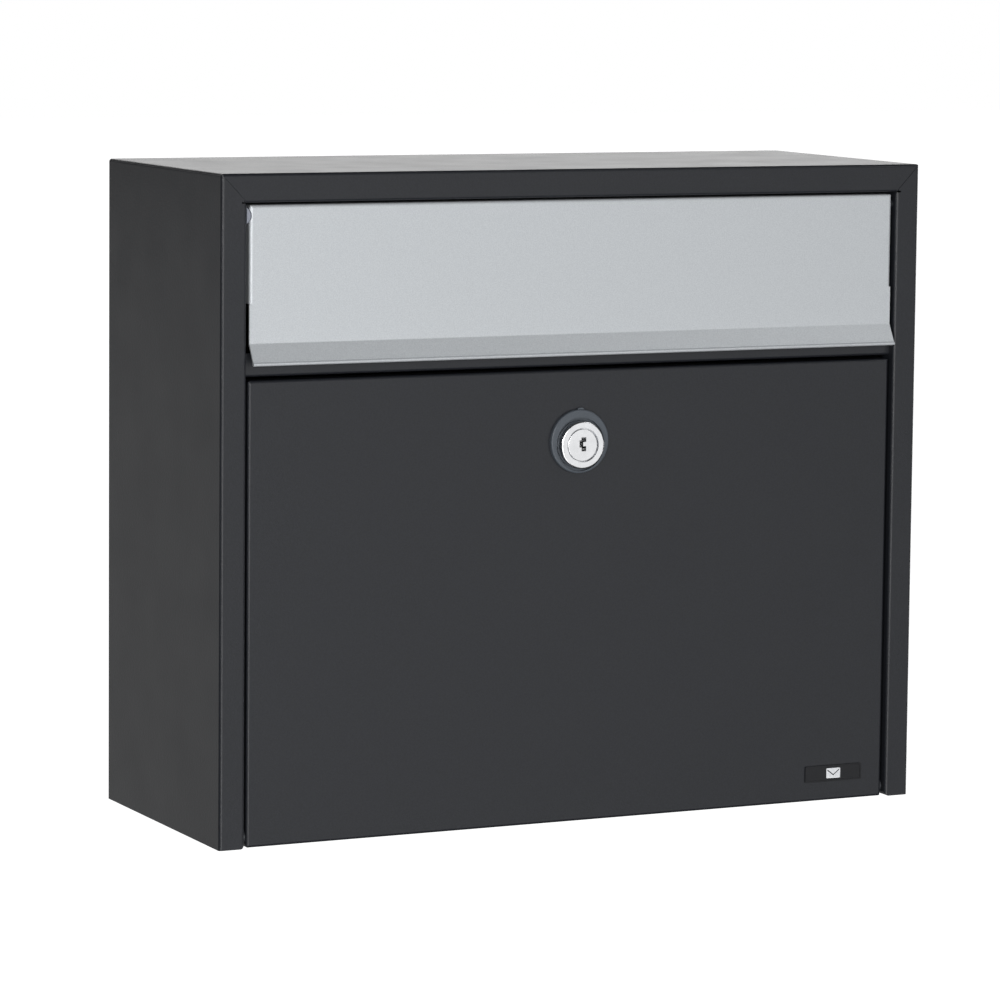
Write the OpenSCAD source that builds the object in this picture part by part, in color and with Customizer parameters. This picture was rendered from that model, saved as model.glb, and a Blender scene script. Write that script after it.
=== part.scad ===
// Wall-mounted mailbox in folded sheet steel, with a lift-up letter flap and a drop-down locked door.
// Inside the modules, X runs across, Y runs back from the front face and Z runs up from the bottom
// edge. place() then moves a piece to the shared frame: its origin is on the wall, at the centre of
// the four wall holes, with +Z up and the front facing -Y. All sizes are in millimetres.

/* [Casing] */
// Overall width of the casing
casing_w = 400; // [380:5:440]
// Overall height of the casing
casing_h = 340; // [340:5:400]
// Overall depth of the casing, from the wall to its front face
casing_d = 155; // [130:5:190]
// Thickness of the steel sheet of the casing and door
sheet_t = 1.2; // [1:0.1:1.3]
// Outside radius of the sheet's bends
bend_r = 1.6; // [1.5:0.1:2]
// Outside radius of the door's tighter bends
door_bend_r = 1.4; // [1.4:0.1:2]
// Width of the front flange beside the opening
flange_w = 13.8; // [13:0.1:15]
// Height of the front flange above the opening
flange_top = 14.6; // [13:0.1:15]
// Depth of the edge that is turned in behind the front flange
return_d = 12; // [11:0.5:12]

/* [Flap] */
// Thickness of the flap's sheet
flap_t = 1.0; // [0.8:0.1:1.2]
// How far the flap's face is set back from the front flange
flap_recess = 1.3; // [1:0.1:1.5]
// Gap between the flap and the opening on each side
flap_gap = 2; // [1.8:0.1:2.2]
// Gap between the flap's top and the opening
flap_top_gap = 1.2; // [1.2:0.1:2.5]
// Depth of the flap's turned-in sides
flap_return = 10; // [8:0.5:10]
// Height of the turned-in sides, from the flap's top down
flap_wing_h = 49.2; // [40:0.2:55]
// Height from the flap's top down to the crease of its lip
crease_drop = 69.3; // [68:0.1:71]
// Length of the lip below the crease
lip_len = 11.3; // [10:0.1:12]
// Angle by which the lip kicks forward
lip_angle = 30; // [20:1:35]
// Radius of the flap's hinge pins
flap_pin_r = 2; // [1.8:0.1:2]

/* [Door] */
// Height of the door
door_h = 236.4; // [230:0.1:236.5]
// How far the door's face is set back from the front flange
door_recess = 2; // [1.8:0.1:2.2]
// Gap between the door and the opening on each side
door_gap = 1.7; // [1.6:0.1:2.2]
// Depth of the door's turned-in top and sides
door_return = 10; // [9:0.5:10]
// Radius of the door's hinge pins
door_pin_r = 1.75; // [1.5:0.05:1.8]
// Gap between the door and the fixed rail above it
rail_gap = 1.7; // [1.6:0.1:2.5]
// How far the rail's face is set back from the front flange
rail_recess = 4.7; // [4.5:0.1:5]
// Height of the rail's face
rail_h = 23.9; // [22:0.1:25]

/* [Lock] */
// Height of the lock's axis above the door's bottom edge
lock_z = 197.7; // [190:0.1:200]
// Radius of the lock's chrome head
head_r = 12.4; // [12:0.1:12.6]
// How far the chrome head stands in front of the door
head_h = 5.6; // [5:0.1:6]
// Radius of the round end of the turning plug
plug_head_r = 8.4; // [8:0.1:8.6]
// Radius of the plug's shank
plug_r = 6; // [6:0.1:6.2]
// Radius of the plastic rosette around the head
rosette_r = 16.6; // [16:0.2:18]
// How far the rosette stands in front of the door
rosette_h = 2.2; // [2:0.1:2.5]
// Width of the recessed ring between rosette and head
ring_w = 1.5; // [1:0.1:1.6]
// How far the rosette's centre is above the lock's axis
rosette_rise = 1.6; // [1.4:0.1:2]
// Reach of the cam from the lock's axis to its tip
cam_reach = 48; // [46:0.5:50]

/* [Wall fixing] */
// Radius of the wall holes
wall_hole_r = 3.25; // [2.75:0.25:4]
// Distance between the wall holes across the box
wall_dx = 300; // [200:10:320]
// Distance between the wall holes up the box
wall_dz = 170; // [140:10:170]
// Height of the centre of the wall holes above the bottom edge
wall_z = 130; // [120:5:135]

/* [Hidden] */
$fn = 64;

paint = [0.235, 0.24, 0.255];
silver = [0.77, 0.785, 0.80];
steel = [0.70, 0.71, 0.73];
chrome = [0.90, 0.90, 0.91];
zinc = [0.62, 0.63, 0.65];
nickel = [0.60, 0.60, 0.58];
nylon = [0.60, 0.62, 0.67];
dark_nylon = [0.27, 0.28, 0.30];
rosette_grey = [0.33, 0.37, 0.40];
rubber = [0.10, 0.10, 0.10];
white = [0.90, 0.91, 0.92];

eps = 0.5;                                  // how far a cutter reaches past a face
bend_steps = 8;                             // facets along one bend of a folded section
half_t = sheet_t / 2;
inner_r = bend_r - sheet_t;                 // inside radius of the sheet's bends
mid_r = bend_r - half_t;                    // mid-line radius of the sheet's bends
inside_x = casing_w / 2 - sheet_t;          // inner face of a side wall
inside_top = casing_h - sheet_t;            // inner face of the top wall
inside_back = casing_d - sheet_t;           // inner face of the back
open_x = casing_w / 2 - flange_w;           // half-width of the front opening
open_top = casing_h - flange_top;           // top of the front opening
relief = 2.8;                               // reach of the bend relief beyond the opening's corner
seam_w = 0.35;                              // width of the mitre seam
seam_d = 0.3;                               // depth of the groove that paint leaves of the seam

flap_x = open_x - flap_gap;
flap_top = open_top - flap_top_gap;
flap_pin_y = 5.2;
flap_pin_z = flap_top - 5.3;
crease_z = flap_top - crease_drop;
bush_d_r = 4.6;                             // radius of the left bush's D-shaped head
bush_reach = 0.9;                           // how far that head reaches past the flap's edge
bush_head_d = 8.2;                          // depth of that head
bush_fit = 0.15;                            // clearance round it in the flap's notch
bush_shank_r = 2.35;                        // radius of the bushes' shanks inside the flap
right_bush_r = 3;
pin_play = 0.06;                            // radial clearance of a pin in its bush

door_x = open_x - door_gap;
door_back = door_recess + door_return;      // rear edge of the door's turned-in sides
door_pin_y = 6.5;
door_pin_z = 5.2;
door_bush_r = 2.8;                          // radius of the door bushes where they pass the door's side
door_lip = 10;                              // width of the inward lips of the door's sides
door_foot = 6;                              // depth of the door's turned-in bottom
rail_z = door_h + rail_gap;
rail_top = rail_z + rail_h;
rail_back = 19.5;                           // rear face of the rail's upstand, which the cam hooks
sill_back = 44;                             // rear edge of the sloping sill
guard_y = 52;                               // front face of the mail guard
floor_front = 12.5;                         // front face of the floor, a stop for the open door
floor_flange = 12;
stop_z = 222;                               // height of the door's stop tabs and bumpers
stop_y = 15;                                // rear face of the stop tabs
bumper_r = 4;
bumper_x = door_x - bumper_r - 1.4;

head_front = door_recess - head_h;          // front face of the lock's head
door_inner = door_recess + sheet_t;         // inner face of the door's skin
barrel_r = 9;
barrel_flat = 8;                            // half-distance between the barrel's flats
barrel_back = 20;
nut_front = door_inner + 0.8;               // front face of the nut, behind its washer
nut_r = 14.4;                               // radius over the nut's corners
nut_t = 4;
nut_washer_r = 13;
counterbore_r = plug_head_r + 0.55;
counterbore_back = head_front + 2.9;
plug_front = head_front + 0.35;
plug_head_back = counterbore_back - 0.3;
shank_back = barrel_back + 0.3;
keyway_back = 15.6;                         // end of the keyway inside the plug
tap_front = 16.2;                           // start of the bore for the cam's screw
tap_r = 2;
cam_t = 2;
tail = 7;                                   // side of the square tail that drives the cam
tail_back = shank_back + cam_t - 0.1;
cam_back = shank_back + cam_t;
cam_w = 16;
screw_r = 1.95;
screw_head_r = 3.6;
screw_head_h = 2.2;
cam_washer_r = 5;
washer_back = cam_back + 0.6;
wafer_count = 5;
wafer_t = 0.8;
wafer_w = 5.4;
wafer_h = 10.4;
wafer_pitch = 2.6;
wafer_start = 2.6;                          // depth of the first wafer
spring_x = 3.6;                             // the wafer springs' distance from the keyway's middle
spring_foot = -2.2;                         // height of the ear that a wafer spring stands on
spring_turns = 7;
spring_pitch = 0.5;
spring_r = 0.5;                             // mid radius of a wafer spring
spring_wire = 0.14;                         // radius of its wire
spring_len = spring_turns * spring_pitch + 2 * spring_wire;

badge_x = 154.7;
badge_z = 14.65;
badge_w = 34.2;
badge_h = 8.7;
badge_t = 0.8;
badge_rim = 0.7;                            // width of the raised rim around the badge
badge_floor = door_recess - badge_t + 0.25; // depth of the badge's face inside the rim
emblem_t = 0.2;

// ---- helpers ------------------------------------------------------------------------------

module place() translate([0, -casing_d, -wall_z]) children();

// Box between two opposite corners
module box(low, high) translate(low) cube(high - low);

// The same thing on the left and on the right
module both_sides() {
    children();
    mirror([1, 0, 0]) children();
}

// Cylinder along Y, from y1 to y2
module rod_y(r, y1, y2) translate([0, y1, 0]) rotate([-90, 0, 0]) cylinder(r = r, h = y2 - y1);

// Cylinder along X, from x1 to x2
module rod_x(r, x1, x2) translate([x1, 0, 0]) rotate([0, 90, 0]) cylinder(r = r, h = x2 - x1);

// Stand a drawing in Y and Z up and extrude it over x1 to x2
module across(x1, x2) translate([x1, 0, 0]) rotate([90, 0, 90]) linear_extrude(x2 - x1) children();

// Stand a drawing in X and Z up and extrude it over y1 to y2
module deep(y1, y2) translate([0, y2, 0]) rotate([90, 0, 0]) linear_extrude(y2 - y1) children();

// What has to go to round a corner at the origin by r
module corner_cut(r) difference() {
    translate([-eps, -eps]) square(r + eps);
    translate([r, r]) circle(r);
}

// Rectangle from the origin; corners says which are rounded, counted from the lower left to the lower
// right, the upper right and the upper left
module round_rect(w, h, r, corners = [1, 1, 1, 1]) difference() {
    square([w, h]);
    if (corners[0]) corner_cut(r);
    if (corners[1]) translate([w, 0]) mirror([1, 0]) corner_cut(r);
    if (corners[2]) translate([w, h]) rotate(180) corner_cut(r);
    if (corners[3]) translate([0, h]) mirror([0, 1]) corner_cut(r);
}

// Block centred in X, with its front at y = 0 and its bottom at z = 0. Its front edges are rounded by r,
// and so are its top corners seen from the front; foot = 1 rounds the bottom edges as well.
module bent_block(w, d, h, r, foot = 0) intersection() {
    linear_extrude(h) translate([-w / 2, 0]) round_rect(w, d, r, [1, 1, 0, 0]);
    across(-w / 2, w / 2) round_rect(d, h, r, [foot, 0, 0, 1]);
    deep(0, d) translate([-w / 2, 0]) round_rect(w, h, r, [foot, foot, 1, 1]);
}

function unit(v) = v / norm(v);
function left_of(v) = [-v[1], v[0]];
function turned(v, a) = [v[0] * cos(a) - v[1] * sin(a), v[0] * sin(a) + v[1] * cos(a)];
// Signed angle from direction a to direction b
function turn(a, b) = atan2(a[0] * b[1] - a[1] * b[0], a * b);

// Stations along a bent mid-line, each a point and its left normal: the line follows pts, and every
// corner between its ends is an arc of radius r
function stations(pts, r) =
    let (last = len(pts) - 1, dirs = [for (i = [0:last - 1]) unit(pts[i + 1] - pts[i])])
    [
        [pts[0], left_of(dirs[0])],
        for (i = [1:last - 1])
            let (a = turn(dirs[i - 1], dirs[i]), n = left_of(dirs[i - 1]),
                start = pts[i] - dirs[i - 1] * r * tan(abs(a) / 2), centre = start + sign(a) * r * n)
            for (k = [0:bend_steps])
                let (m = turned(n, a * k / bend_steps)) [centre - sign(a) * r * m, m],
        [pts[last], left_of(dirs[last - 1])]
    ];

// Section of a folded sheet of thickness t whose mid-line follows pts, with bends of mid radius r
module folded(pts, t, r) {
    s = stations(pts, r);
    polygon(concat([for (q = s) q[0] + q[1] * t / 2],
        [for (i = [len(s) - 1:-1:0]) s[i][0] - s[i][1] * t / 2]));
}

// ---- casing (fixed to the wall) --------------------------------------------------------------

// Section of the turned-in edge: its visible corner is at the origin, the flange goes to +X
module return_section() folded([[bend_r, half_t], [half_t, half_t], [half_t, return_d]], sheet_t, mid_r);

// Tab behind the door's upper corner that carries a rubber bumper
module stop_tab() {
    tab_h = 14;
    translate([0, 0, stop_z - tab_h / 2]) linear_extrude(tab_h)
        folded([[open_x + half_t, return_d - 1], [open_x + half_t, stop_y - half_t],
            [bumper_x - bumper_r - 0.6, stop_y - half_t]], sheet_t, mid_r);
}

module casing_shell() place() color(paint) difference() {
    union() {
        difference() {
            bent_block(casing_w, casing_d, casing_h, bend_r);
            translate([0, sheet_t, -eps])
                bent_block(casing_w - 2 * sheet_t, casing_d, inside_top + eps, inner_r);
            box([-open_x - bend_r, -eps, -eps], [open_x + bend_r, bend_r, open_top + bend_r]);
        }
        both_sides() translate([open_x, 0, 0]) linear_extrude(open_top - seam_w) return_section();
        translate([0, 0, open_top]) across(-open_x - bend_r, open_x + bend_r)
            folded([[half_t, bend_r], [half_t, half_t], [return_d, half_t]], sheet_t, mid_r);
        both_sides() stop_tab();
    }
    both_sides() {
        // bend relief at the opening's corner, and the mitre seam that runs out from it
        box([open_x + half_t, -eps, open_top - seam_w],
            [open_x + relief, sheet_t + eps, open_top + half_t]);
        translate([open_x, 0, open_top]) rotate([0, -atan2(flange_top, flange_w), 0])
            box([0, -eps, -seam_w / 2], [norm([flange_w, flange_top]), seam_d, seam_w / 2]);
        // rounded lower corner of the flange and of the edge turned in behind it
        translate([open_x, 0, 0]) deep(-eps, return_d + eps) corner_cut(2.4);
        translate([0, flap_pin_y, flap_pin_z]) rod_x(flap_pin_r + 0.02, open_x - eps, open_x + 2 * sheet_t);
        translate([0, door_pin_y, door_pin_z]) rod_x(door_pin_r + 0.02, open_x - eps, open_x + 2 * sheet_t);
    }
}

// Upright capsule, for the pressed stiffening beads
module bead(r, foot, head) {
    translate([0, 0, foot]) cylinder(r = r, h = head - foot);
    for (z = [foot, head]) translate([0, 0, z]) sphere(r);
}

module back_panel() {
    bead_foot = 70;
    bead_head = 190;
    bead_xs = [-90, 0, 90];
    bead_r = 6;
    bead_sink = 3;                          // how far a bead's axis lies behind the plate's inner face
    flange_front = inside_back - 12;        // front edge of the plate's flanges along the sides and top
    place() color(paint) difference() {
        union() {
            deep(inside_back, casing_d) translate([-inside_x, 0])
                round_rect(2 * inside_x, inside_top, 1, [0, 0, 1, 1]);
            both_sides() box([inside_x - sheet_t, flange_front, floor_flange + 1],
                [inside_x, casing_d - eps, inside_top - 2]);
            box([-inside_x + 3, flange_front, inside_top - sheet_t],
                [inside_x - 3, casing_d - eps, inside_top]);
            for (x = bead_xs) intersection() {
                translate([x, inside_back + bead_sink, 0]) bead(bead_r, bead_foot, bead_head);
                box([x - 10, inside_back - 10, 0], [x + 10, casing_d - eps, inside_top]);
            }
        }
        for (x = bead_xs) translate([x, inside_back + bead_sink, 0])
            bead(bead_r - sheet_t, bead_foot, bead_head);
        for (x = [-1, 1], z = [-1, 1]) translate([x * wall_dx / 2, 0, wall_z + z * wall_dz / 2])
            rod_y(wall_hole_r, inside_back - eps, casing_d + eps);
    }
}

module floor_panel() {
    drain_x = [-120, 0, 120];
    drain_y = 40;
    drain_r = 3;
    side_back = inside_back - 14;           // the floor's side flanges stop short of the back panel's
    place() color(paint) difference() {
        union() {
            box([-inside_x, floor_front, 0], [inside_x, inside_back, sheet_t]);
            both_sides() box([inside_x - sheet_t, floor_front, 0], [inside_x, side_back, floor_flange]);
            box([-open_x, floor_front, 0], [open_x, floor_front + sheet_t, floor_flange]);
            box([-inside_x + 6, inside_back - sheet_t, 0], [inside_x - 6, inside_back, floor_flange]);
        }
        for (x = drain_x) translate([x, drain_y, -eps]) cylinder(r = drain_r, h = sheet_t + 2 * eps);
    }
}

// Fixed rail between flap and door; its sheet goes on as the sloping sill that letters slide over
module slot_rail() {
    notch_z = rail_z + 12;                  // above this the rail's ends are notched, clear of the flap
    place() color(paint) difference() {
        union() {
            across(-open_x, open_x) folded([
                [rail_back - half_t, rail_z + 9],
                [rail_back - half_t, rail_z + half_t],
                [rail_recess + half_t, rail_z + half_t],
                [rail_recess + half_t, rail_top - half_t],
                [sill_back, rail_top - 12],
                [sill_back, rail_top - 19]], sheet_t, mid_r);
            both_sides() box([open_x - sheet_t, rail_recess + half_t, rail_z + 3],
                [open_x, return_d, notch_z]);
        }
        both_sides() box([open_x - 5, 0, notch_z], [open_x + eps, return_d + 6, rail_top + eps]);
    }
}

module mail_guard() place() color(paint) across(-open_x - 4, open_x + 4) folded([
    [guard_y + 22, inside_top - half_t],
    [guard_y + half_t, inside_top - half_t],
    [guard_y + half_t, rail_top + 38],
    [guard_y + 20, rail_top + 22],
    [guard_y + 20, rail_top + 16]], sheet_t, mid_r);

// Riveted hinge stud: flat head behind the turned-in edge, shank through it into the opening
module stud(r) {
    reach = 5;                              // how far the shank stands out into the opening
    rod_x(r, open_x - reach, open_x + sheet_t + eps);
    rod_x(1.8 * r, open_x + sheet_t, open_x + sheet_t + 1.5);
}

module flap_pins() place() color(paint) both_sides()
    translate([0, flap_pin_y, flap_pin_z]) stud(flap_pin_r);

module door_pins() place() color(paint) both_sides()
    translate([0, door_pin_y, door_pin_z]) stud(door_pin_r);

// Rubber button with a rounded front edge, glued to the face at y2
module bumper(r, y1, y2) translate([0, y2, 0]) rotate([90, 0, 0])
    rotate_extrude() round_rect(r, y2 - y1, 0.7, [0, 0, 1, 0]);

module flap_bumpers() place() color(rubber) both_sides()
    translate([150, 0, rail_top - 6.5]) bumper(bumper_r, flap_recess + flap_t + 0.3, rail_recess);

module door_bumpers() place() color(rubber) both_sides()
    translate([bumper_x, 0, stop_z]) bumper(bumper_r, door_back + 0.3, stop_y - sheet_t);

// ---- flap (lifts about its top edge) ---------------------------------------------------------

module flap() {
    lip_end = [flap_recess + flap_t / 2, crease_z] + lip_len * [-sin(lip_angle), -cos(lip_angle)];
    hem_r = 0.95;
    place() color(silver) difference() {
        union() {
            // upper part, with its top and sides turned in
            intersection() {
                translate([0, flap_recess, 0]) difference() {
                    bent_block(2 * flap_x, flap_return, flap_top, bend_r - 0.1);
                    translate([0, flap_t, -eps])
                        bent_block(2 * (flap_x - flap_t), flap_return, flap_top - flap_t + eps, 0.5);
                }
                across(-flap_x, flap_x) translate([0, flap_top - flap_wing_h])
                    round_rect(flap_recess + flap_return, flap_wing_h + eps, 5, [0, 1, 0, 0]);
            }
            // lower part with the lip, and its hemmed edge
            across(-flap_x, flap_x) folded([
                [flap_recess + flap_t / 2, flap_top - flap_wing_h],
                [flap_recess + flap_t / 2, crease_z],
                lip_end], flap_t, 2);
            translate([0, lip_end[0], lip_end[1]]) rod_x(hem_r, -flap_x, flap_x);
        }
        // seats of the two hinge bushes; the left one is notched through the front, so its bush shows
        translate([0, flap_pin_y, flap_pin_z]) {
            deep(-flap_pin_y, bush_head_d / 2 + bush_fit) left_bush_outline(bush_fit);
            rod_x(bush_shank_r, -flap_x - eps, -flap_x + 3);
            rod_x(right_bush_r, flap_x - flap_t - eps, flap_x + eps);
        }
    }
}

// D shape that the left bush shows from the front, grown by fit for its notch
module left_bush_outline(fit = 0) translate([-flap_x + bush_reach - bush_d_r, 0]) circle(bush_d_r + fit);

module flap_bush_left() place() color(nylon) translate([0, flap_pin_y, flap_pin_z]) difference() {
    union() {
        intersection() {
            translate([-flap_x + bush_reach - bush_d_r, bush_head_d / 2, 0]) rotate([90, 0, 0])
                rotate_extrude() round_rect(bush_d_r, bush_head_d, 0.9, [0, 0, 1, 0]);
            box([-open_x + 0.3, -10, -10], [0, 10, 10]);
        }
        rod_x(bush_shank_r, -flap_x - 1, -flap_x + 3);
    }
    rod_x(flap_pin_r + pin_play, -open_x - eps, -flap_x + 3 + eps);
}

module flap_bush_right() place() color(nylon) translate([0, flap_pin_y, flap_pin_z]) difference() {
    union() {
        rod_x(right_bush_r, flap_x - flap_t, flap_x);
        rod_x(bush_shank_r, flap_x - 3, flap_x);
    }
    rod_x(flap_pin_r + pin_play, flap_x - 3 - eps, open_x);
}

// ---- door (drops open about its bottom edge) -------------------------------------------------

module door_panel() {
    inner_x = door_x - sheet_t;
    place() color(paint) difference() {
        union() {
            translate([0, door_recess, 0]) intersection() {
                difference() {
                    bent_block(2 * door_x, door_return, door_h, door_bend_r, 1);
                    translate([0, sheet_t, sheet_t])
                        bent_block(2 * inner_x, door_return, door_h - 2 * sheet_t, 0.2, 1);
                }
                // the bottom edge is turned in less, so that the door can swing past the floor
                across(-door_x, door_x) polygon([[0, 0], [door_foot, 0], [door_return, 4],
                    [door_return, door_h], [0, door_h]]);
            }
            // inward lips along the sides
            both_sides() box([door_x - door_lip, door_back - sheet_t, 12],
                [inner_x + 0.2, door_back, door_h - 8]);
        }
        translate([0, 0, lock_z]) intersection() {
            rod_y(barrel_r + 0.15, 0, door_back);
            box([-barrel_flat - 0.15, 0, -barrel_r - 1], [barrel_flat + 0.15, door_back, barrel_r + 1]);
        }
        both_sides() translate([0, door_pin_y, door_pin_z]) rod_x(door_bush_r, inner_x - eps, door_x + eps);
    }
}

// Bushes clipped through the door's sides: a collar outside, a low barb inside
module door_bushes() {
    inner_x = door_x - sheet_t;
    barb = 1.2;
    place() color(dark_nylon) both_sides() translate([0, door_pin_y, door_pin_z]) difference() {
        union() {
            rod_x(door_bush_r, inner_x - barb + eps, door_x + eps);
            rod_x(door_bush_r + 0.4, door_x, open_x - 0.5);
            rod_x(door_bush_r + 0.3, inner_x - barb, inner_x);
        }
        rod_x(door_pin_r + pin_play, inner_x - 4, open_x);
    }
}

module badge() place() color(dark_nylon) translate([badge_x - badge_w / 2, 0, badge_z - badge_h / 2])
    difference() {
        deep(door_recess - badge_t, door_recess) round_rect(badge_w, badge_h, 0.8);
        translate([badge_rim, 0, badge_rim]) deep(0, badge_floor)
            round_rect(badge_w - 2 * badge_rim, badge_h - 2 * badge_rim, 0.5);
    }

// Raised envelope pictogram on the badge: a plate with the line of the envelope's flap cut out of it
module badge_emblem() {
    w = 8.4;
    h = 5.4;
    line = 0.55;
    fold_z = 0.4 * h;
    place() color(white) translate([badge_x - w / 2, 0, badge_z - h / 2])
        deep(badge_floor - emblem_t, badge_floor) difference() {
            round_rect(w, h, 0.5);
            polygon([[line, h - line], [w / 2, fold_z], [w - line, h - line],
                [w - line, h - 2.2 * line], [w / 2, fold_z - 1.3 * line], [line, h - 2.2 * line]]);
        }
}

// ---- lock (turns in the door) ----------------------------------------------------------------

module at_lock() place() translate([0, 0, lock_z]) children();

// Plastic rosette between the head and the door, set a little high, with a small nub on top
module lock_rosette() {
    nub_w = 3.4;
    nub_h = 0.8;
    nub_x = 0.6;
    nub_corner = [nub_x - nub_w / 2, rosette_rise + rosette_r - 1];
    at_lock() color(rosette_grey) difference() {
        union() {
            translate([0, door_recess, rosette_rise]) rotate([90, 0, 0])
                rotate_extrude() round_rect(rosette_r, rosette_h, 0.9, [0, 0, 1, 0]);
            deep(door_recess - rosette_h + 0.8, door_recess)
                translate(nub_corner) round_rect(nub_w, 1 + nub_h, 0.9, [0, 0, 1, 1]);
        }
        rod_y(head_r + 0.15, head_front, door_recess + eps);
        // recessed ring around the head, down to a thin floor
        rod_y(head_r + ring_w, head_front, door_recess - 0.5);
    }
}

module lock_housing() at_lock() color(chrome) difference() {
    union() {
        translate([0, door_recess, 0]) rotate([90, 0, 0])
            rotate_extrude() round_rect(head_r, head_h, 0.9, [0, 0, 1, 0]);
        intersection() {
            rod_y(barrel_r, door_recess, barrel_back);
            box([-barrel_flat, door_recess - 1, -barrel_r], [barrel_flat, barrel_back, barrel_r]);
        }
    }
    rod_y(counterbore_r, head_front - eps, counterbore_back);
    rod_y(plug_r + pin_play, counterbore_back - eps, barrel_back + eps);
    // grooves that the wafers spring into when the key is drawn
    for (a = [0, 90]) rotate([0, a, 0])
        box([-wafer_w / 2 - 0.2, wafer_start - 1.4, -plug_r - 1.2],
            [wafer_w / 2 + 0.2, wafer_start + wafer_count * wafer_pitch, plug_r + 1.2]);
}

module lock_washer() at_lock() color(steel) difference() {
    rod_y(nut_washer_r, door_inner, nut_front);
    rod_y(barrel_r + 0.1, door_inner - eps, nut_front + eps);
}

module lock_nut() at_lock() color(zinc) difference() {
    translate([0, nut_front, 0]) rotate([-90, 0, 0]) cylinder(r = nut_r, h = nut_t, $fn = 6);
    rod_y(barrel_r + 0.02, nut_front - eps, nut_front + nut_t + eps);
}

// Keyway seen from the front: a tall slot with three wards that make it zigzag
module keyway() translate([0, 0.4]) difference() {
    translate([-1.9, -3.6]) square([3.8, 7.2]);
    translate([0.2, -1]) square([2, 2.2]);
    translate([-2, -4]) square([1.3, 2.4]);
    translate([-2, 2.1]) square([1.2, 2]);
}

function wafer_y(i) = wafer_start + i * wafer_pitch;

module lock_plug() at_lock() color(chrome) difference() {
    union() {
        translate([0, plug_head_back, 0]) rotate([90, 0, 0]) rotate_extrude()
            round_rect(plug_head_r, plug_head_back - plug_front, 0.3, [0, 0, 1, 0]);
        rod_y(plug_r, plug_head_back - eps, shank_back);
        box([-tail / 2, shank_back - eps, -tail / 2], [tail / 2, tail_back, tail / 2]);
    }
    deep(plug_front - eps, keyway_back) keyway();
    rod_y(tap_r, tap_front, tail_back + eps);
    for (i = [0:wafer_count - 1]) translate([0, wafer_y(i), 0]) {
        box([-wafer_w / 2 - 0.05, -0.45, -plug_r - eps], [wafer_w / 2 + 0.05, 0.45, plug_r + eps]);
        box([wafer_w / 2 - 0.2, -0.45, spring_foot - 0.9], [spring_x + 0.8, 0.45, spring_foot + 0.1]);
        translate([spring_x, 0, spring_foot]) cylinder(r = spring_r + 0.25, h = spring_len + 0.1);
    }
}

// Five flat wafers, each with a window for the key at its own height and an ear for its spring
module lock_wafers() at_lock() color(nickel) for (i = [0:wafer_count - 1]) {
    window_z = 0.7 * sin(110 * i);
    translate([0, wafer_y(i), 0]) difference() {
        union() {
            box([-wafer_w / 2, -wafer_t / 2, -wafer_h / 2], [wafer_w / 2, wafer_t / 2, wafer_h / 2]);
            box([0, -wafer_t / 2, spring_foot - 0.8], [spring_x + 0.7, wafer_t / 2, spring_foot]);
        }
        box([-2, -1, window_z - 3.4], [2, 1, window_z + 3.4]);
    }
}

// Helical spring that stands on z = 0, swept as one tube
module coil(radius, wire, pitch, turns) {
    sides = 5;
    steps = 10;
    rings = turns * steps;
    points = [for (i = [0:rings]) for (k = [0:sides - 1])
        let (r = radius + wire * cos(360 * k / sides))
        [r * cos(360 * i / steps), r * sin(360 * i / steps),
            wire + pitch * i / steps + wire * sin(360 * k / sides)]];
    skin = [for (i = [0:rings - 1]) for (k = [0:sides - 1]) let (next = (k + 1) % sides)
        [i * sides + k, i * sides + next, (i + 1) * sides + next, (i + 1) * sides + k]];
    ends = [[for (k = [sides - 1:-1:0]) k], [for (k = [0:sides - 1]) rings * sides + k]];
    polyhedron(points, concat(ends, skin));
}

module lock_wafer_springs() at_lock() color(steel) for (i = [0:wafer_count - 1])
    translate([spring_x, wafer_y(i), spring_foot]) coil(spring_r, spring_wire, spring_pitch, spring_turns);

// Flat cam, pointing sideways while the lock is open
module lock_cam() at_lock() color(steel) difference() {
    deep(shank_back, cam_back) {
        circle(cam_w / 2);
        translate([0, -cam_w / 2]) round_rect(cam_reach, cam_w, 4, [0, 1, 1, 0]);
    }
    box([-tail / 2, shank_back - 1, -tail / 2], [tail / 2, cam_back + 1, tail / 2]);
}

module lock_cam_washer() at_lock() color(steel) difference() {
    rod_y(cam_washer_r, cam_back, washer_back);
    rod_y(screw_r + 0.2, cam_back - eps, washer_back + eps);
}

module lock_cam_screw() at_lock() color(steel) difference() {
    union() {
        rod_y(screw_r, tap_front + 0.8, washer_back + eps);
        translate([0, washer_back, 0]) rotate([-90, 0, 0])
            rotate_extrude() round_rect(screw_head_r, screw_head_h, 1, [0, 0, 1, 0]);
    }
    for (a = [0, 90]) rotate([0, a, 0])
        box([-2, washer_back + 0.9, -0.4], [2, washer_back + screw_head_h + eps, 0.4]);
}

// ---- what is drawn ----------------------------------------------------------------------------

casing_shell();
back_panel();
floor_panel();
slot_rail();
mail_guard();
flap_pins();
flap_bumpers();
door_pins();
door_bumpers();
flap();
flap_bush_left();
flap_bush_right();
door_panel();
door_bushes();
lock_rosette();
lock_housing();
lock_washer();
lock_nut();
badge();
badge_emblem();
lock_plug();
lock_wafers();
lock_wafer_springs();
lock_cam();
lock_cam_washer();
lock_cam_screw();
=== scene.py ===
"""Looks of the wall-mounted mailbox: materials, floor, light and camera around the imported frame.

Everything is in metres in the shared frame: the origin is on the wall at the centre of the four wall
holes, +Z is up and the front of the box faces -Y.
"""
import math

import bpy
from mathutils import Matrix, Vector

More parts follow.
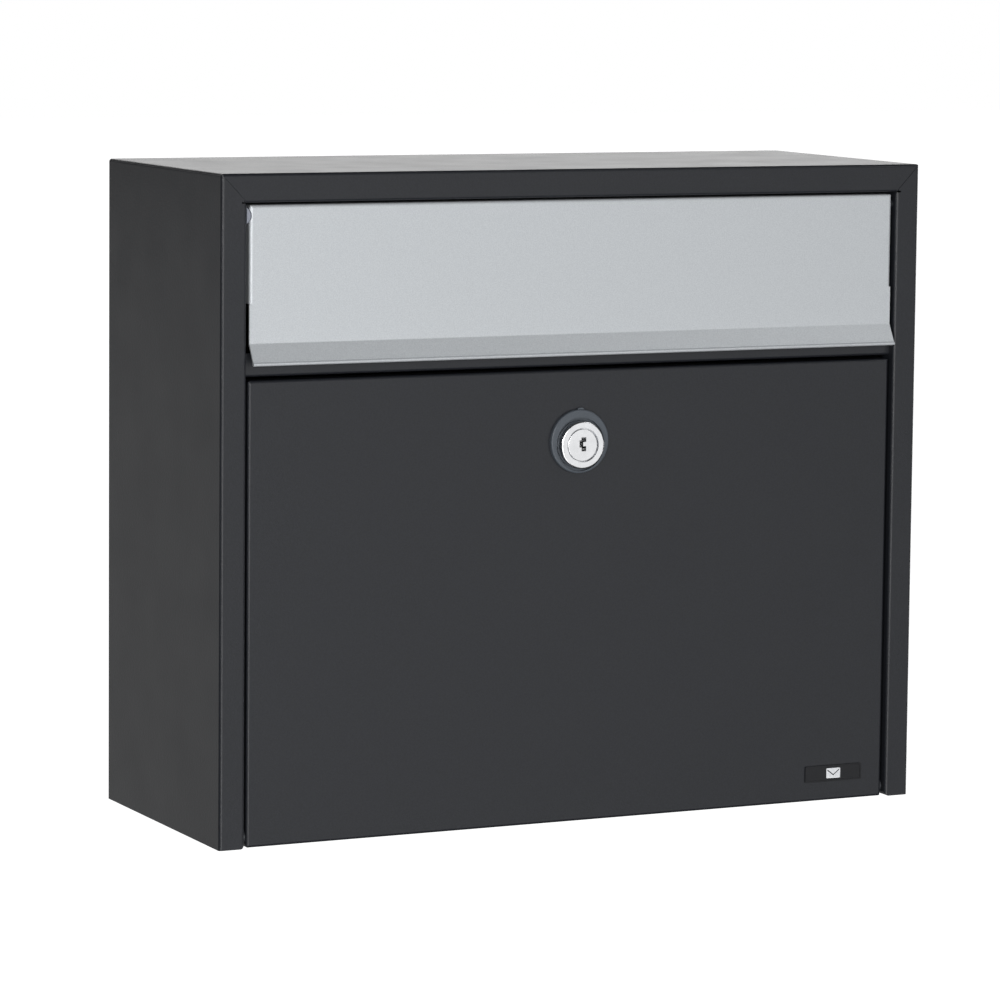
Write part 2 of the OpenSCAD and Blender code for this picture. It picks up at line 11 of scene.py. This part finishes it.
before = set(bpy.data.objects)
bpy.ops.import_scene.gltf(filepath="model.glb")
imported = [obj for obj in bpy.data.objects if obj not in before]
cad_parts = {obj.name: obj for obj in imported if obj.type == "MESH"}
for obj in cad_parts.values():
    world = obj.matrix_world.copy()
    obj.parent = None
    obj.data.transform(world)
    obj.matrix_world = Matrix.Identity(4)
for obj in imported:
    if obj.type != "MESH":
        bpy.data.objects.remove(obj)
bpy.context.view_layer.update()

MM = 0.001

# ---- colours, as linear-light values from 0 to 1 ----------------------------------------------------


def srgb(red, green, blue):
    """Linear colour of a screen colour given from 0 to 255."""
    def linear(value):
        value /= 255
        return value / 12.92 if value <= 0.04045 else ((value + 0.055) / 1.055) ** 2.4
    return (linear(red), linear(green), linear(blue), 1.0)


ANTHRACITE = srgb(31, 33, 37)
ANTHRACITE_FLECK = srgb(36, 38, 43)
SILVER_LIGHT = srgb(199, 203, 206)
SILVER_DARK = srgb(185, 189, 193)
CHROME = srgb(226, 227, 229)
CHROME_LIGHT = srgb(234, 235, 237)
ZINC_LIGHT = srgb(190, 193, 198)
ZINC_DARK = srgb(150, 154, 160)
NICKEL_LIGHT = srgb(168, 168, 164)
NICKEL_DARK = srgb(120, 120, 116)
PALE_NYLON = srgb(138, 142, 153)
PALE_NYLON_DARK = srgb(124, 128, 139)
DARK_NYLON = srgb(46, 48, 52)
DARK_NYLON_FLECK = srgb(56, 58, 62)
ROSETTE = srgb(70, 76, 83)
ROSETTE_FLECK = srgb(78, 84, 91)
RUBBER = srgb(22, 22, 23)
RUBBER_DUST = srgb(40, 40, 41)
BADGE_PLATE = srgb(27, 28, 31)
BADGE_FLECK = srgb(32, 33, 36)
EMBLEM = srgb(226, 228, 231)
EMBLEM_SHADE = srgb(210, 212, 216)

# ---- materials ---------------------------------------------------------------------------------------


class Look:
    """A node material with its shader, and short ways to add texture to it.

    Texture sizes are in metres on the object.
    """

    def __init__(self, name, roughness, metallic=0.0, specular=0.5):
        self.material = bpy.data.materials.new(name)
        self.material.use_nodes = True
        self.nodes = self.material.node_tree.nodes
        self.links = self.material.node_tree.links
        self.shader = self.nodes["Principled BSDF"]
        self.shader.inputs["Roughness"].default_value = roughness
        self.shader.inputs["Metallic"].default_value = metallic
        self.shader.inputs["Specular IOR Level"].default_value = specular
        self.place = self.nodes.new("ShaderNodeTexCoord").outputs["Object"]
        self.normal = None

    def noise(self, size, detail=2.0, roughness=0.5, stretch=None):
        """Noise whose blobs are about size across; stretch scales it along X, Y and Z."""
        node = self.nodes.new("ShaderNodeTexNoise")
        node.inputs["Scale"].default_value = 1 / size
        node.inputs["Detail"].default_value = detail
        node.inputs["Roughness"].default_value = roughness
        place = self.place
        if stretch:
            mapping = self.nodes.new("ShaderNodeMapping")
            mapping.inputs["Scale"].default_value = stretch
            self.links.new(place, mapping.inputs["Vector"])
            place = mapping.outputs["Vector"]
        self.links.new(place, node.inputs["Vector"])
        return node.outputs["Fac"]

    def ramp(self, value, low, high, low_at=0.35, high_at=0.65):
        """Colour that runs from low to high as the value goes from low_at to high_at."""
        node = self.nodes.new("ShaderNodeValToRGB")
        node.color_ramp.elements[0].position = low_at
        node.color_ramp.elements[0].color = low
        node.color_ramp.elements[1].position = high_at
        node.color_ramp.elements[1].color = high
        self.links.new(value, node.inputs["Fac"])
        return node.outputs["Color"]

    def span(self, value, low, high, low_at=0.3, high_at=0.7):
        """Number that runs from low to high as the value goes from low_at to high_at."""
        node = self.nodes.new("ShaderNodeMapRange")
        for name, number in (("From Min", low_at), ("From Max", high_at), ("To Min", low), ("To Max", high)):
            node.inputs[name].default_value = number
        self.links.new(value, node.inputs["Value"])
        return node.outputs["Result"]

    def colour(self, value):
        self.links.new(value, self.shader.inputs["Base Color"])

    def roughness(self, value):
        self.links.new(value, self.shader.inputs["Roughness"])

    def bump(self, height, depth, strength=1.0):
        """Relief of that depth in metres; calls add up."""
        node = self.nodes.new("ShaderNodeBump")
        node.inputs["Strength"].default_value = strength
        node.inputs["Distance"].default_value = depth
        self.links.new(height, node.inputs["Height"])
        if self.normal:
            self.links.new(self.normal, node.inputs["Normal"])
        self.normal = node.outputs["Normal"]
        self.links.new(self.normal, self.shader.inputs["Normal"])


def anthracite_paint():
    """Matt powder coat with a fine orange-peel structure."""
    look = Look("anthracite_powder_coat", roughness=0.35, specular=0.37)
    fine = look.noise(0.8 * MM, detail=3)
    look.colour(look.ramp(fine, ANTHRACITE, ANTHRACITE_FLECK))
    look.roughness(look.span(look.noise(30 * MM), 0.335, 0.37))
    look.bump(fine, 0.05 * MM)
    look.bump(look.noise(1.8 * MM), 0.06 * MM)
    return look


def silver_paint():
    """Metallic powder coat, mottled by its aluminium flakes."""
    look = Look("silver_powder_coat", roughness=0.42, metallic=0.35, specular=0.5)
    flakes = look.noise(0.6 * MM, detail=3, roughness=0.6)
    look.colour(look.ramp(flakes, SILVER_DARK, SILVER_LIGHT))
    look.roughness(look.span(look.noise(3 * MM), 0.38, 0.46))
    look.bump(look.noise(0.9 * MM, detail=3), 0.025 * MM)
    return look


def chrome():
    """Bright chrome with a faintly uneven polish."""
    look = Look("lock_chrome", roughness=0.16, metallic=1.0)
    look.colour(look.ramp(look.noise(5 * MM), CHROME, CHROME_LIGHT))
    look.roughness(look.span(look.noise(0.5 * MM, detail=4), 0.14, 0.22))
    look.bump(look.noise(0.4 * MM, detail=3), 0.003 * MM)
    return look


def zinc():
    """Zinc plate, mottled in soft patches."""
    look = Look("zinc_plate", roughness=0.36, metallic=1.0)
    patches = look.noise(4 * MM, detail=3)
    look.colour(look.ramp(patches, ZINC_DARK, ZINC_LIGHT))
    look.roughness(look.span(patches, 0.3, 0.45))
    look.bump(look.noise(0.6 * MM, detail=3), 0.006 * MM)
    return look


def nickel():
    """Brushed nickel silver, its grain running up the wafer."""
    look = Look("wafer_nickel", roughness=0.3, metallic=1.0)
    grain = look.noise(0.5 * MM, detail=3, stretch=(1, 1, 0.1))
    look.colour(look.ramp(grain, NICKEL_DARK, NICKEL_LIGHT))
    look.bump(grain, 0.004 * MM)
    return look


def plastic(name, colour, fleck, roughness, grain, depth, specular=0.45):
    """Moulded plastic with a spark-eroded grain of that size and depth."""
    look = Look(name, roughness=roughness, specular=specular)
    noise = look.noise(grain, detail=3)
    look.colour(look.ramp(noise, colour, fleck))
    look.roughness(look.span(look.noise(6 * grain), roughness - 0.05, roughness + 0.06))
    look.bump(noise, depth)
    return look


LOOKS = {
    "anthracite_paint": anthracite_paint(),
    "silver_paint": silver_paint(),
    "lock_chrome": chrome(),
    "zinc_plate": zinc(),
    "wafer_nickel": nickel(),
    "pale_nylon": plastic("pale_nylon", PALE_NYLON_DARK, PALE_NYLON, 0.42, 0.5 * MM, 0.01 * MM),
    "dark_nylon": plastic("dark_nylon", DARK_NYLON, DARK_NYLON_FLECK, 0.5, 0.5 * MM, 0.01 * MM),
    "rosette_plastic": plastic("rosette_plastic", ROSETTE, ROSETTE_FLECK, 0.45, 0.4 * MM, 0.012 * MM),
    "black_rubber": plastic("black_rubber", RUBBER, RUBBER_DUST, 0.75, 0.9 * MM, 0.02 * MM, specular=0.3),
    "badge_plastic": plastic("badge_plastic", BADGE_PLATE, BADGE_FLECK, 0.5, 0.5 * MM, 0.006 * MM,
                             specular=0.3),
    "badge_white": plastic("badge_print", EMBLEM_SHADE, EMBLEM, 0.5, 0.5 * MM, 0.004 * MM),
}

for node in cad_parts.values():
    for slot in node.material_slots:
        slot.material = LOOKS[slot.material.name].material

# ---- floor, light and camera -------------------------------------------------------------------------

FLOOR_BELOW = 1.1          # the box hangs this far above the floor, measured from its wall holes
FLOOR_SIZE = 60.0

CAMERA_PLACE = Vector((-1.0772, -2.2987, 0.3332))
CAMERA_YAW = -26.43
CAMERA_PITCH = -6.14
CAMERA_ROLL = -0.66
CAMERA_LENS = 168.3        # focal length in millimetres on the default 36 mm sensor
CAMERA_SHIFT = (-0.06, -0.07)

FRONT = (0, -0.15, 0.05)   # middle of the front, which the lights before the box point at
WORLD_SEEN = 1.0           # strength of the world as a backdrop
WORLD_DIFFUSE = 0.12       # strength of the even light that it gives
WORLD_MIRRORED = 0.04      # strength of what glossy faces mirror


def turn(degrees, axis):
    return Matrix.Rotation(math.radians(degrees), 4, axis)


def make_floor():
    """Pale floor far below the box, glowing a little so that it stays as bright as the backdrop."""
    mesh = bpy.data.meshes.new("floor")
    half = FLOOR_SIZE / 2
    corners = [(x * half, y * half, -FLOOR_BELOW) for x, y in ((-1, -1), (1, -1), (1, 1), (-1, 1))]
    mesh.from_pydata(corners, [], [(0, 1, 2, 3)])
    floor = bpy.data.objects.new("floor", mesh)
    bpy.context.scene.collection.objects.link(floor)
    look = Look("studio_floor", roughness=0.9, specular=0.1)
    look.colour(look.ramp(look.noise(2.0), srgb(244, 244, 245), srgb(248, 248, 249)))
    look.shader.inputs["Emission Color"].default_value = (1, 1, 1, 1)
    look.shader.inputs["Emission Strength"].default_value = 1.0
    mesh.materials.append(look.material)
    floor.visible_glossy = False
    floor.visible_diffuse = False


def soft_light(name, place, target, width, height, power):
    """Area light of that size at place, turned towards target; the camera doesn't see it."""
    data = bpy.data.lights.new(name, "AREA")
    data.shape = "RECTANGLE"
    data.size = width
    data.size_y = height
    data.energy = power
    light = bpy.data.objects.new(name, data)
    bpy.context.scene.collection.objects.link(light)
    light.location = place
    light.rotation_euler = (Vector(target) - Vector(place)).to_track_quat("-Z", "Y").to_euler()
    light.visible_camera = False


def make_world():
    """Plain white to the camera, a dim even grey to what it lights, and darker still to what mirrors it."""
    world = bpy.data.worlds.new("studio")
    bpy.context.scene.world = world
    world.use_nodes = True
    nodes = world.node_tree.nodes
    links = world.node_tree.links
    even = nodes["Background"]
    even.inputs["Color"].default_value = (1, 1, 1, 1)
    even.inputs["Strength"].default_value = WORLD_DIFFUSE
    path = nodes.new("ShaderNodeLightPath")
    shader = even.outputs["Background"]
    for ray, strength in (("Is Glossy Ray", WORLD_MIRRORED), ("Is Camera Ray", WORLD_SEEN)):
        other = nodes.new("ShaderNodeBackground")
        other.inputs["Color"].default_value = (1, 1, 1, 1)
        other.inputs["Strength"].default_value = strength
        mix = nodes.new("ShaderNodeMixShader")
        links.new(path.outputs[ray], mix.inputs["Fac"])
        links.new(shader, mix.inputs[1])
        links.new(other.outputs["Background"], mix.inputs[2])
        shader = mix.outputs["Shader"]
    links.new(shader, nodes["World Output"].inputs["Surface"])


def make_camera():
    """Camera at the angle that the looks were made for."""
    data = bpy.data.cameras.new("camera")
    data.lens = CAMERA_LENS
    data.shift_x, data.shift_y = CAMERA_SHIFT
    camera = bpy.data.objects.new("camera", data)
    bpy.context.scene.collection.objects.link(camera)
    facing = turn(CAMERA_YAW, "Z") @ turn(CAMERA_PITCH, "X") @ turn(CAMERA_ROLL, "Y") @ turn(90, "X")
    camera.matrix_world = Matrix.Translation(CAMERA_PLACE) @ facing
    bpy.context.scene.camera = camera


make_floor()
# each light's name, place, the point that it faces, its width, height and power in watts
soft_light("key", (-0.65, -3.05, 0.1), FRONT, 1.5, 2.2, 48.5)
soft_light("low_key", (-0.5, -1.45, -0.95), FRONT, 1.3, 0.8, 6.5)
soft_light("edge_light", (-1.33, -1.29, 0.3), (-0.1, -0.15, 0.1), 0.25, 0.3, 7)
soft_light("front_card", (1.4, -2.8, -0.25), FRONT, 2.0, 2.2, 13)
soft_light("top_card", (2.0, -1.6, 1.9), (0.1, -0.15, 0.15), 1.2, 1.0, 9)
soft_light("back", (1.35, 2.9, 0.9), (0, 0, 0.1), 2.5, 1.4, 19)
soft_light("side", (-1.0, 1.35, -0.69), (-0.2, -0.08, -0.05), 1.4, 1.8, 3.6)
soft_light("side_right", (1.0, 1.35, -0.65), (0.2, -0.08, -0.05), 1.4, 1.9, 6)
soft_light("right", (2.6, 0.2, -0.35), (0.2, -0.08, 0), 1.0, 1.0, 14)
soft_light("back_left", (-1.7, 2.4, 1.3), (0, 0, 0.2), 1.0, 0.7, 5)
make_world()
make_camera()
bpy.context.scene.view_settings.view_transform = "Standard"
